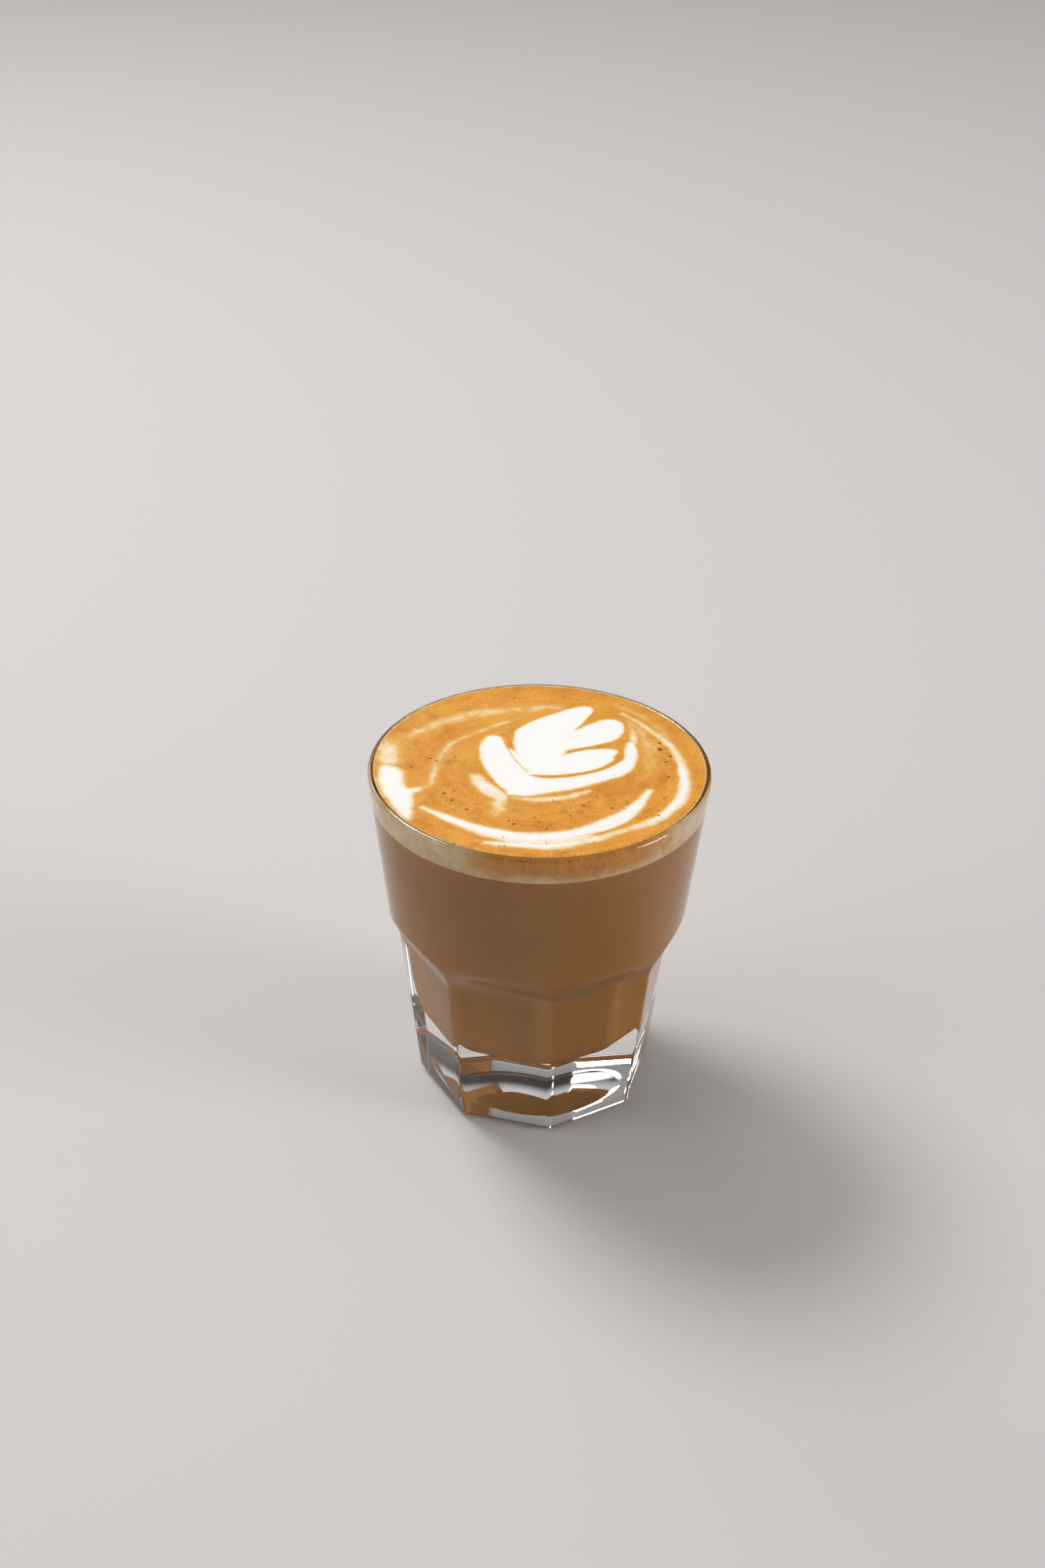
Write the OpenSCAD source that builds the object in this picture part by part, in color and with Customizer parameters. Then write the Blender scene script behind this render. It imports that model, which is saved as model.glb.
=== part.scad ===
// Cortado glass: a thick panelled tumbler, filled with coffee, foam, crema and poured latte art.
// Millimetres, +Z up, origin at the middle of the foot, front of the drink towards -Y.

/* [Tumbler] */
// Height of the glass
glass_h = 78.6; // [76:0.1:95]
// Outer diameter at the rim
rim_d = 73; // [70:0.5:80]
// Outer diameter of the bowl at the shoulder
bowl_low_d = 65.7; // [64:0.1:69]
// Height of the shoulder, where the bowl's diameter is taken
shoulder_h = 46.5; // [45:0.5:48]
// Wall thickness of the bowl at the shoulder
bowl_wall = 2.4; // [1.8:0.1:3.2]
// Wall thickness at the rounded lip
lip_t = 1.7; // [1.2:0.1:2.4]
// Thickness of the solid glass under the drink
floor_t = 16; // [10:0.5:18]

/* [Panels] */
// Number of flat panels around the lower half
panel_count = 8; // [8:1:10]
// Turn of the outer ridges away from the front
panel_turn = 7.7; // [0:0.1:22]
// Width across two flats at the foot
foot_w = 48.2; // [46:0.1:50]
// Width across two flats where the panels start to curve out
panel_top_w = 56; // [54.5:0.1:57]
// Height where the panels start to curve out
panel_top_h = 36.5; // [35:0.5:37.5]
// Height of the curved top of a panel
scoop_h = 9; // [8:0.5:10]
// Bevel along the edge of the foot
foot_edge = 1.6; // [0.8:0.1:2]

/* [Lower cavity] */
// Width across two flats of the cavity at its top
core_top_w = 41.4; // [40:0.1:43]
// Width across two flats of the cavity at its floor
core_low_w = 38.4; // [36:0.1:40]
// Height where the cavity starts to widen into the bowl
core_top_h = 33; // [31:0.5:34]
// Radius between the cavity's wall and floor
core_fillet = 4.5; // [3:0.5:6]
// Depth that the cavity's ridges are blunted by
core_blunt = 0.35; // [0.2:0.05:0.5]
// Diameter of the hollow under the foot
punt_d = 29; // [26:0.5:34]
// Depth of the hollow under the foot
punt_depth = 2.2; // [1:0.1:2.5]

/* [Drink] */
// Distance from the rim down to the crema
fill_gap = 0.2; // [0.2:0.1:3]
// Thickness of the crema
crema_t = 2.3; // [1.5:0.1:3]
// Thickness of the pale foam under the crema
foam_t = 4.1; // [3:0.1:6]
// Depth of the poured milk in the crema
milk_t = 0.6; // [0.4:0.1:1]
// Height that specks stand above the crema
speck_t = 0.15; // [0.1:0.05:0.3]
// Diameter of the largest bubble at the rim
bubble_d = 0.9; // [0.6:0.1:1.2]
// Number of bubbles in the row along the front of the rim
bubble_count = 30; // [12:2:36]

/* [Hidden] */
$fn = 96;

// Clearance between the still coffee and the glass
drink_gap = 0.05;
// Clearance between the turning foam cap and the glass
cap_gap = 0.1;
// How far every cut runs past the surface it cuts
overrun = 2;
// How far the panel cuts run past the bowl where they leave it
scoop_over = 0.7;
// How far the funnel's low end lies inside the core's flats
funnel_inset = 0.4;
// Steps along each curve
curve_steps = 8;
outline_steps = 4;
lip_steps = 12;

// Heights of the layers of the drink
crema_top = glass_h - fill_gap;
crema_low = crema_top - crema_t;
foam_low = crema_low - foam_t;
milk_low = crema_top - milk_t;

// Outline of the bowl: the outside is one straight taper, and the wall thins evenly towards the lip.
lip_h = glass_h - lip_t / 2;
function between(a, b, t) = a + (b - a) * t;
function bowl_share(z) = (z - shoulder_h) / (lip_h - shoulder_h);
function outer_r(z) = between(bowl_low_d, rim_d, bowl_share(z)) / 2;
function inner_r(z) = outer_r(z) - between(bowl_wall, lip_t, bowl_share(z));

// Distance from the axis to a flat panel, outside and in the cavity, and from a flat to its ridge.
corner_share = 1 / cos(180 / panel_count);
function panel_r(z) = between(foot_w, panel_top_w, z / panel_top_h) / 2;
function core_r(z) = between(core_low_w, core_top_w, (z - floor_t) / (core_top_h - floor_t)) / 2;

// Curves through control points
function bend3(a, b, c, t) = between(between(a, b, t), between(b, c, t), t);
function bend4(a, b, c, d, t) = between(bend3(a, b, c, t), bend3(b, c, d, t), t);
function steps(n) = [for (i = [0:n]) i / n];

// The panel's curved top leaves the flat without a kink and runs out through the bowl.
scoop_top_h = panel_top_h + scoop_h;
scoop_mid_h = panel_top_h + scoop_h / 2;
scoop_low = [panel_r(panel_top_h), panel_top_h];
scoop_mid = [panel_r(scoop_mid_h), scoop_mid_h];
scoop_high = [outer_r(scoop_top_h) + scoop_over, scoop_top_h];
scoop = [for (t = steps(curve_steps)) bend3(scoop_low, scoop_mid, scoop_high, t)];

// Outside of the tumbler before its panels are cut: the bowl's taper, run down to the foot
lip_r = (outer_r(lip_h) - inner_r(lip_h)) / 2;
lip_mid_r = (outer_r(lip_h) + inner_r(lip_h)) / 2;
lip = [for (t = steps(lip_steps)) [lip_mid_r + lip_r * cos(180 * t), lip_h + lip_r * sin(180 * t)]];
blank_outline = concat([[0, 0], [outer_r(0), 0]], lip, [[0, lip_h - lip_t]]);

// Inside of the tumbler, drawn in by a gap for the drink that fills it: a round bowl narrows to a funnel,
// which the panelled core below runs up into.
cavity_bend_h = (shoulder_h - core_top_h) / 2;
funnel_low = [core_r(core_top_h) - funnel_inset, core_top_h];
funnel_high = [inner_r(shoulder_h), shoulder_h];
funnel = [for (t = steps(curve_steps)) bend4(
    funnel_low, funnel_low + [0, cavity_bend_h], funnel_high - [0, cavity_bend_h], funnel_high, t)];
function bowl_outline(gap) = concat(
    [[0, core_top_h]],
    [for (p = funnel) [p[0] - gap, p[1]]],
    [[inner_r(lip_h) - gap, lip_h], [inner_r(lip_h) - gap, glass_h + overrun], [0, glass_h + overrun]]
);
core_join_h = core_top_h + cavity_bend_h;
function core_ridge_r(z) = core_r(z) * corner_share - core_blunt;
fillet_mid_r = core_ridge_r(floor_t) - core_fillet;
fillet = [for (t = steps(curve_steps))
    [fillet_mid_r + core_fillet * sin(90 * t), floor_t + core_fillet * (1 - cos(90 * t))]];
function core_outline(gap) = concat(
    [[0, floor_t + gap]],
    [for (p = fillet) [p[0] - gap, p[1] + gap]],
    [[core_ridge_r(core_join_h) - gap, core_join_h], [0, core_join_h]]
);

// Cutting outlines for the flats, each seen from the side of its panel
panel_cut = concat(
    [[panel_r(0) - foot_edge - overrun, -overrun], [panel_r(foot_edge), foot_edge]],
    scoop,
    [[rim_d, scoop_top_h], [rim_d, -overrun]]
);
function core_cut(gap) = [
    [core_r(floor_t - overrun) - gap, floor_t - overrun],
    [core_r(core_join_h + overrun) - gap, core_join_h + overrun],
    [rim_d, core_join_h + overrun],
    [rim_d, floor_t - overrun]
];

// Where the latte art lies: every point is a share of the crema's radius, +Y away from the drinker.
crema_r = inner_r(crema_top) - cap_gap;
crown_shares = [
    [0.34, 0.7], [0.29, 0.75], [0.21, 0.72], [0.08, 0.64], [-0.01, 0.57], [-0.08, 0.51], [-0.14, 0.43],
    [-0.16, 0.34], [-0.16, 0.24], [-0.14, 0.14], [-0.1, 0.04], [-0.06, -0.04], [0.02, -0.06],
    [0.09, -0.03], [0.11, 0.07], [0.12, 0.16], [0.16, 0.26], [0.2, 0.38], [0.24, 0.48], [0.28, 0.56]
];
middle_shares = [
    [0.26, 0.46], [0.32, 0.52], [0.39, 0.57], [0.47, 0.58], [0.52, 0.54], [0.53, 0.47], [0.51, 0.39],
    [0.46, 0.32], [0.38, 0.27], [0.29, 0.23], [0.2, 0.2], [0.15, 0.18], [0.18, 0.27], [0.22, 0.37]
];
lower_shares = [
    [0.14, 0.12], [0.2, 0.16], [0.3, 0.2], [0.39, 0.21], [0.45, 0.21], [0.48, 0.18], [0.45, 0.11],
    [0.39, 0.05], [0.3, -0.01], [0.2, -0.06], [0.13, -0.07], [0.13, 0.03]
];
left_leaf_shares = [
    [-0.29, 0.36], [-0.23, 0.33], [-0.21, 0.25], [-0.18, 0.15], [-0.14, 0.05], [-0.09, -0.05],
    [-0.09, -0.13], [-0.11, -0.24], [-0.15, -0.34], [-0.19, -0.31], [-0.25, -0.23], [-0.3, -0.12],
    [-0.35, 0.02], [-0.37, 0.15], [-0.36, 0.27], [-0.33, 0.34]
];
outer_leaf_shares = [
    [-0.05, -0.14], [0.04, -0.16], [0.15, -0.14], [0.27, -0.1], [0.37, -0.05], [0.46, 0.01],
    [0.51, 0.09], [0.52, 0.19], [0.54, 0.29], [0.58, 0.3], [0.6, 0.2], [0.59, 0.07], [0.56, -0.03],
    [0.5, -0.1], [0.4, -0.16], [0.3, -0.22], [0.2, -0.27], [0.08, -0.31], [-0.01, -0.34],
    [-0.09, -0.35], [-0.06, -0.26]
];
feather_shares = [
    [-0.41, -0.13], [-0.37, -0.12], [-0.33, -0.17], [-0.28, -0.23], [-0.22, -0.31], [-0.19, -0.36],
    [-0.21, -0.4], [-0.26, -0.36], [-0.32, -0.3], [-0.38, -0.22]
];
rim_patch_shares = [
    [-0.93, -0.09], [-0.88, -0.06], [-0.83, -0.1], [-0.82, -0.18], [-0.83, -0.26], [-0.78, -0.3],
    [-0.75, -0.4], [-0.75, -0.51], [-0.75, -0.58], [-0.79, -0.54], [-0.84, -0.43], [-0.89, -0.31],
    [-0.93, -0.18]
];
front_swirl_shares = [
    [-0.7, -0.48], [-0.6, -0.56], [-0.48, -0.64], [-0.37, -0.71], [-0.26, -0.75], [-0.13, -0.79],
    [-0.01, -0.8], [0.12, -0.78], [0.25, -0.73], [0.36, -0.65], [0.48, -0.55], [0.56, -0.45],
    [0.63, -0.33], [0.66, -0.26]
];
outer_swirl_shares = [
    [-0.33, -0.86], [-0.25, -0.88], [-0.13, -0.89], [-0.01, -0.9], [0.12, -0.89], [0.24, -0.84],
    [0.36, -0.78], [0.5, -0.69], [0.6, -0.64], [0.69, -0.58], [0.76, -0.5], [0.82, -0.41],
    [0.86, -0.3], [0.88, -0.16], [0.87, 0.01], [0.84, 0.15], [0.8, 0.28], [0.73, 0.4], [0.66, 0.5],
    [0.59, 0.59], [0.51, 0.67]
];
left_streak_shares = [
    [-0.72, -0.28], [-0.68, -0.27], [-0.65, -0.22], [-0.64, -0.12], [-0.63, -0.01], [-0.6, 0.1]
];
back_streak_shares = [
    [-0.59, 0.2], [-0.52, 0.29], [-0.44, 0.35], [-0.37, 0.41], [-0.28, 0.48], [-0.19, 0.54],
    [-0.13, 0.58]
];
// Width of a poured band, and of its narrow ends against its middle
front_swirl_share = 0.09;
outer_swirl_share = 0.07;
streak_share = 0.035;
band_end_share = 0.3;
// Place and radius of each speck of ground coffee
speck_shares = [
    [0.74, 0.22, 0.016], [0.74, 0.3, 0.01], [0.8, 0.14, 0.011], [0.77, 0.07, 0.009],
    [0.78, -0.1, 0.009], [0.74, -0.35, 0.008], [0.7, -0.54, 0.008], [-0.57, -0.33, 0.011],
    [-0.52, -0.41, 0.01], [-0.43, -0.51, 0.01], [-0.67, 0.07, 0.009], [-0.63, 0.04, 0.007],
    [-0.66, 0.17, 0.007], [-0.52, 0.09, 0.007], [-0.78, -0.03, 0.008], [-0.15, -0.66, 0.01],
    [-0.18, -0.63, 0.008], [0.04, -0.71, 0.008], [0, -0.64, 0.006], [0.26, -0.45, 0.009],
    [0.29, -0.41, 0.007], [0.43, -0.47, 0.008], [0.52, -0.42, 0.006], [0.18, -0.56, 0.007],
    [0.08, -0.41, 0.006], [-0.03, -0.59, 0.006], [-0.51, -0.31, 0.007], [-0.2, -0.89, 0.006],
    [0.04, -0.86, 0.006], [-0.16, 0.84, 0.007]
];
// Arc that the bubbles keep to, each side of the front, and their spread of sizes
bubble_arc = 70;
bubble_least_share = 0.55;

// Smooth closed outline, or smooth open path, through a list of points
function through(a, b, c, d, t) =
    ((2 * b) + (c - a) * t + (2 * a - 5 * b + 4 * c - d) * t * t + (3 * b - a - 3 * c + d) * t * t * t) / 2;
function closed_curve(p) = [
    for (i = [0:len(p) - 1], j = [0:outline_steps - 1])
        through(p[(i + len(p) - 1) % len(p)], p[i], p[(i + 1) % len(p)], p[(i + 2) % len(p)], j / outline_steps)
];
function open_curve(p) = [
    for (i = [0:len(p) - 2], j = [0:outline_steps - (i == len(p) - 2 ? 0 : 1)])
        through(p[max(i - 1, 0)], p[i], p[i + 1], p[min(i + 2, len(p) - 1)], j / outline_steps)
];
function side_of(p, i) =
    let (d = p[min(i + 1, len(p) - 1)] - p[max(i - 1, 0)]) [-d[1], d[0]] / norm(d);
function half_width(i, n, w) = w / 2 * max(band_end_share, sqrt(sin(180 * i / n)));
function band(path, w) =
    let (p = open_curve(path), n = len(p) - 1) concat(
        [for (i = [0:n]) p[i] + side_of(p, i) * half_width(i, n, w)],
        [for (i = [n:-1:0]) p[i] - side_of(p, i) * half_width(i, n, w)]
    );

// A prism of one outline set against each of the panels
module flats(outline, turn) {
    for (k = [0:panel_count - 1])
        rotate([0, 0, turn - 90 + (k + 0.5) * 360 / panel_count])
            rotate([90, 0, 0])
                linear_extrude(height = rim_d, center = true)
                    polygon(outline);
}

// The space that the drink fills, less a gap all round
module cavity(gap) {
    rotate_extrude() polygon(bowl_outline(gap));
    difference() {
        rotate_extrude() polygon(core_outline(gap));
        flats(core_cut(gap), 0);
    }
}

// Round layer of the foam cap between two heights
module cap_layer(low, high) {
    rotate_extrude()
        polygon([[0, low], [inner_r(low) - cap_gap, low], [inner_r(high) - cap_gap, high], [0, high]]);
}

// Poured milk that lies in the crema, level with its top
module milk(outline, top = crema_top) {
    translate([0, 0, milk_low])
        linear_extrude(height = top - milk_low)
            polygon(outline * crema_r);
}

module tumbler() {
    punt_r = punt_d / 2;
    dome_r = (punt_r * punt_r + punt_depth * punt_depth) / (2 * punt_depth);
    color("lightcyan", 0.4) difference() {
        rotate_extrude() polygon(blank_outline);
        flats(panel_cut, panel_turn);
        cavity(0);
        translate([0, 0, punt_depth - dome_r]) sphere(r = dome_r);
    }
}

module coffee() {
    color("saddlebrown") intersection() {
        cavity(drink_gap);
        cylinder(r = rim_d, h = foam_low);
    }
}

module milk_foam() {
    color("wheat") cap_layer(foam_low, crema_low);
}

module crema() {
    color("peru") difference() {
        cap_layer(crema_low, crema_top);
        for (p = [crown_shares, middle_shares, lower_shares, left_leaf_shares, outer_leaf_shares,
                  feather_shares, rim_patch_shares])
            milk(closed_curve(p), crema_top + overrun);
        milk(band(front_swirl_shares, front_swirl_share), crema_top + overrun);
        milk(band(outer_swirl_shares, outer_swirl_share), crema_top + overrun);
        milk(band(left_streak_shares, streak_share), crema_top + overrun);
        milk(band(back_streak_shares, streak_share), crema_top + overrun);
    }
}

module tulip_crown() {
    color("ivory") milk(closed_curve(crown_shares));
}

module tulip_middle() {
    color("ivory") milk(closed_curve(middle_shares));
}

module tulip_lower() {
    color("ivory") milk(closed_curve(lower_shares));
}

module tulip_left_leaf() {
    color("ivory") milk(closed_curve(left_leaf_shares));
}

module tulip_outer_leaf() {
    color("ivory") milk(closed_curve(outer_leaf_shares));
}

module small_feather() {
    color("cornsilk") milk(closed_curve(feather_shares));
}

module rim_patch() {
    color("ivory") milk(closed_curve(rim_patch_shares));
}

module front_swirl() {
    color("ivory") milk(band(front_swirl_shares, front_swirl_share));
}

module outer_swirl() {
    color("cornsilk") milk(band(outer_swirl_shares, outer_swirl_share));
}

module left_streak() {
    color("moccasin") milk(band(left_streak_shares, streak_share));
}

module back_streak() {
    color("moccasin") milk(band(back_streak_shares, streak_share));
}

module crema_specks() {
    color("#3a1d0c")
        for (s = speck_shares)
            translate([s[0] * crema_r, s[1] * crema_r, crema_top])
                cylinder(r = s[2] * crema_r, h = speck_t);
}

module rim_bubbles() {
    color("sienna")
        for (k = [0:bubble_count - 1]) {
            turn = between(-bubble_arc, bubble_arc, k / (bubble_count - 1));
            size = bubble_d * between(bubble_least_share, 1, abs(sin(turn * bubble_count)));
            rotate([0, 0, turn])
                translate([0, bubble_d - crema_r, crema_top])
                    difference() {
                        sphere(d = size);
                        translate([-size, -size, -size]) cube([2 * size, 2 * size, size]);
                    }
        }
}

tumbler();
coffee();
milk_foam();
crema();
tulip_crown();
tulip_middle();
tulip_lower();
tulip_left_leaf();
tulip_outer_leaf();
small_feather();
rim_patch();
front_swirl();
outer_swirl();
left_streak();
back_streak();
crema_specks();
rim_bubbles();
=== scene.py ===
"""Looks of a cortado glass: a clear panelled tumbler, milky coffee, foam, crema and a poured tulip."""
import math
import random

import bpy
import numpy as np
from mathutils import Matrix, Vector


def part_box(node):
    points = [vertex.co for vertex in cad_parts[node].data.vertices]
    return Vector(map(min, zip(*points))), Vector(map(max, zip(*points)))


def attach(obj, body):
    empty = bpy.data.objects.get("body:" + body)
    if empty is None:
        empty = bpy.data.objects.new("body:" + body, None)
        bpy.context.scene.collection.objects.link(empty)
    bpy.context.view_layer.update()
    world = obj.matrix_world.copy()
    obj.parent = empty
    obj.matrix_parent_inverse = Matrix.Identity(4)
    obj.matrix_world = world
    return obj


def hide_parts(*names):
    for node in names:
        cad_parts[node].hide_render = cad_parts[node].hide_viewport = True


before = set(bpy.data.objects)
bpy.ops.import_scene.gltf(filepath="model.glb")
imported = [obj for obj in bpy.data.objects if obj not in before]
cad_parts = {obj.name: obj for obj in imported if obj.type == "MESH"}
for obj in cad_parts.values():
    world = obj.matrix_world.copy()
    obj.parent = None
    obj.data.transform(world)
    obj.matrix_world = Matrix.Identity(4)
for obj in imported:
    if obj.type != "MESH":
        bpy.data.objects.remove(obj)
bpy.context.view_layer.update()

SEED = 7

# Sizes in millimetres and the panels' count and turn, from the frame or repeated from the construction
MM = 0.001
GLASS_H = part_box("tumbler")[1].z / MM
RIM_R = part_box("tumbler")[1].x / MM
FOAM_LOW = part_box("milk_foam")[0].z / MM
CREMA_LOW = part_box("crema")[0].z / MM
CREMA_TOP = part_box("crema")[1].z / MM
SHOULDER_H = 46.5
BOWL_LOW_R = 32.85
BOWL_WALL = 2.4
LIP_T = 1.7
LIP_H = GLASS_H - LIP_T / 2
FLOOR_T = 16
PANELS = 8
PANEL_TURN = math.radians(7.7)
FOOT_FLAT = 24.1
PANEL_TOP_FLAT = 28
PANEL_TOP_H = 36.5
SCOOP_H = 9
SCOOP_OVER = 0.7
FOOT_EDGE = 1.6
RIDGE_ROUND = 0.8
SHOULDER_ROUND = 1.5
CORE_TOP_FLAT = 20.7
CORE_LOW_FLAT = 19.2
CORE_TOP_H = 33
CORE_FILLET = 4.5
CORE_ROUND = 1.4
FUNNEL_INSET = 0.4
FUNNEL_ROUND = 1.2
PUNT_R = 14.5
PUNT_DEPTH = 2.2
CAVITY_LOW = FLOOR_T + CORE_FILLET
# How far the funnel blends into the core below it and into the bowl above it
BLEND_BELOW = 2
BLEND_ABOVE = 1
# How far the close rows of points go on above the scooped panels
SCOOP_OVERRUN = 2
# How far the drink presses into the glass, so that no film of air shows between them
WET = 0.03
# How close points are merged
WELD = 0.001

# Angles, the sharp one as the least bend that shades as an edge
QUARTER_TURN = 90
HALF_TURN = 180
SHARP = math.radians(40)

# How many columns and rows of points each stretch of a surface has
COLUMNS = 320
PUNT_ROWS = 14
FOOT_ROWS = 8
FOOT_EDGE_ROWS = 8
PANEL_ROWS = 16
SCOOP_ROWS = 52
UPPER_ROWS = 14
LIP_ROWS = 14
FLOOR_ROWS = 6
FILLET_ROWS = 10
CORE_ROWS = 5
FUNNEL_ROWS = 32
FUNNEL_STEPS = 64
BOWL_ROWS = 12
CREMA_COLUMNS = 600
CREMA_ROWS = 130
WALL_ROWS = 8
# How strongly columns crowd at the ridges, and the height above which they spread out again
RIDGE_CROWD = 0.65
CROWD_TOP = 50


# Curves that the outlines follow
def mix(a, b, t):
    return a + (b - a) * t


def ease(low, high, x):
    t = np.clip((x - low) / (high - low), 0, 1)
    return t * t * (3 - 2 * t)


def soft_min(a, b, rounding):
    blend = np.maximum(rounding - np.abs(a - b), 0) / rounding
    return np.minimum(a, b) - blend * blend * rounding / 4


def soft_max(a, b, rounding):
    return -soft_min(-a, -b, rounding)


def bowl_share(z):
    return (z - SHOULDER_H) / (LIP_H - SHOULDER_H)


def bowl_outside(z):
    return mix(BOWL_LOW_R, RIM_R, bowl_share(z))


def bowl_inside(z):
    return bowl_outside(z) - mix(BOWL_WALL, LIP_T, bowl_share(z))


def lip_inside(z):
    """Radius of the bowl's inside, with the rounded lip above."""
    lip_r = LIP_T / 2
    rise = np.clip(z - LIP_H, 0, lip_r)
    return bowl_inside(np.minimum(z, LIP_H)) + lip_r - np.sqrt(lip_r ** 2 - rise ** 2)


def panel_flat(z):
    """Distance from the axis to a flat panel, with its scooped top."""
    straight = mix(FOOT_FLAT, PANEL_TOP_FLAT, z / PANEL_TOP_H)
    t = np.maximum((z - PANEL_TOP_H) / SCOOP_H, 0)
    low = PANEL_TOP_FLAT
    mid = mix(FOOT_FLAT, PANEL_TOP_FLAT, (PANEL_TOP_H + SCOOP_H / 2) / PANEL_TOP_H)
    high = bowl_outside(PANEL_TOP_H + SCOOP_H) + SCOOP_OVER
    scooped = mix(mix(low, mid, t), mix(mid, high, t), t)
    return np.where(z < PANEL_TOP_H, straight, scooped)


def core_flat(z):
    return mix(CORE_LOW_FLAT, CORE_TOP_FLAT, (z - FLOOR_T) / (CORE_TOP_H - FLOOR_T))


def panelled(flat, angle, turn, rounding):
    """Radius at an angle from the front of an even-sided outline with rounded ridges."""
    step = math.tau / PANELS
    from_ridge = np.mod(angle - turn, step)
    beside = step / 2 + np.minimum(from_ridge, step - from_ridge)
    return soft_min(flat / np.cos(from_ridge - step / 2), flat / np.cos(beside), rounding)


def funnel(z):
    """Radius of the cavity where it narrows from the bowl to the core, on a curve with upright ends."""
    t = np.linspace(0, 1, FUNNEL_STEPS)
    rise = 1.5 * t - 1.5 * t ** 2 + t ** 3
    spread = 3 * t ** 2 - 2 * t ** 3
    heights = mix(CORE_TOP_H, SHOULDER_H, rise)
    radii = mix(CORE_TOP_FLAT - FUNNEL_INSET, bowl_inside(SHOULDER_H), spread)
    return np.interp(z, heights, radii)


def outside_radius(angle, z):
    sides = panelled(panel_flat(z), angle, PANEL_TURN, RIDGE_ROUND)
    drop = np.clip(FOOT_EDGE - z, 0, FOOT_EDGE)
    edge = FOOT_EDGE - np.sqrt(FOOT_EDGE ** 2 - drop ** 2)
    return soft_min(bowl_outside(z), sides, SHOULDER_ROUND) - edge


def cavity_radius(angle, z):
    core = panelled(core_flat(z), angle, 0, CORE_ROUND)
    blended = soft_max(core, funnel(z), FUNNEL_ROUND)
    narrow = np.where(z < CORE_TOP_H - BLEND_BELOW, core, blended)
    return np.where(z > SHOULDER_H, bowl_inside(z), narrow)


def outside_ridge(z):
    """Radius of the glass along one of its ridges."""
    return float(outside_radius(PANEL_TURN, np.array(float(z))))


def cavity_ridge(z):
    """Radius of the cavity along one of the ridges of its core."""
    return float(cavity_radius(np.array(0.0), np.array(float(z))))


# Modelling helpers
def deselect():
    if bpy.context.object and bpy.context.object.mode != "OBJECT":
        bpy.ops.object.mode_set(mode="OBJECT")
    bpy.ops.object.select_all(action="DESELECT")


def edit_all():
    bpy.ops.object.mode_set(mode="EDIT")
    bpy.ops.mesh.select_all(action="SELECT")


def to_object():
    bpy.ops.object.mode_set(mode="OBJECT")


def spin_outline(name, outline, columns):
    """Lays a ring of points on an outline of (radius, height), opens it and spins it round the axis."""
    deselect()
    bpy.ops.mesh.primitive_circle_add(vertices=len(outline), radius=MM, fill_type="NOTHING")
    piece = bpy.context.object
    piece.name = piece.data.name = name
    set_points(piece, np.array([(r, 0, z) for r, z in outline], dtype=float))
    last = len(outline) - 1
    for edge in piece.data.edges:
        edge.select = set(edge.vertices) == {0, last}
    for point in piece.data.vertices:
        point.select = point.index in (0, last)
    bpy.ops.object.mode_set(mode="EDIT")
    bpy.ops.mesh.select_mode(type="EDGE")
    bpy.ops.mesh.delete(type="EDGE")
    bpy.ops.mesh.select_mode(type="VERT")
    to_object()
    bpy.ops.object.modifier_add(type="SCREW")
    turn = piece.modifiers[-1]
    turn.steps = turn.render_steps = columns
    turn.use_merge_vertices = True
    turn.merge_threshold = WELD * MM
    bpy.ops.object.modifier_apply(modifier=turn.name)
    edit_all()
    bpy.ops.mesh.remove_doubles(threshold=WELD * MM)
    bpy.ops.mesh.normals_make_consistent(inside=False)
    to_object()
    bpy.ops.object.shade_smooth_by_angle(angle=SHARP)
    return piece


def points_of(piece):
    flat = np.empty(len(piece.data.vertices) * 3)
    piece.data.vertices.foreach_get("co", flat)
    return flat.reshape(-1, 3) / MM


def set_points(piece, points):
    piece.data.vertices.foreach_set("co", (points * MM).ravel())
    piece.data.update()


def crowd(angle, turn, amount):
    """Draws the columns together at the ridges."""
    return angle - amount * np.sin(PANELS * (angle - turn)) / PANELS


# Which way the ridges face in each kind of row
KIND_TURNS = {"under": PANEL_TURN, "wall": PANEL_TURN, "inside": 0, "floor": 0, "wet": 0}


def press(piece, outline, kinds):
    """Presses the spun blank to its panelled shape, each row of points by its kind."""
    points = points_of(piece)
    radius = np.hypot(points[:, 0], points[:, 1])
    angle = np.arctan2(points[:, 0], -points[:, 1])
    z = points[:, 2]
    row_radius, row_height = np.array(outline, dtype=float).T
    away = np.hypot(radius[:, None] - row_radius, z[:, None] - row_height)
    kind = np.array(kinds)[away.argmin(axis=1)]
    fade_out = RIDGE_CROWD * (1 - ease(CROWD_TOP, GLASS_H, z))
    for name, turn in KIND_TURNS.items():
        here = kind == name
        near_axis = ease(0, PUNT_R, radius[here])
        angle[here] = crowd(angle[here], turn, fade_out[here] * near_axis)
    here = kind == "under"
    foot = outside_radius(angle[here], np.zeros_like(z[here]))
    ridge = outside_ridge(0)
    radius[here] *= mix(1, foot / ridge, ease(PUNT_R, ridge, radius[here]))
    here = kind == "wall"
    radius[here] = outside_radius(angle[here], z[here])
    here = kind == "inside"
    radius[here] = cavity_radius(angle[here], z[here])
    here = kind == "wet"
    radius[here] = cavity_radius(angle[here], z[here]) + WET
    here = kind == "floor"
    edge = cavity_radius(angle[here], np.full_like(z[here], CAVITY_LOW))
    most = cavity_ridge(CAVITY_LOW)
    radius[here] *= mix(1, edge / most, ease(0, most, radius[here]))
    points[:, 0] = radius * np.sin(angle)
    points[:, 1] = -radius * np.cos(angle)
    set_points(piece, points)


def rows(low, high, count):
    return [mix(low, high, i / count) for i in range(count + 1)]


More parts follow.
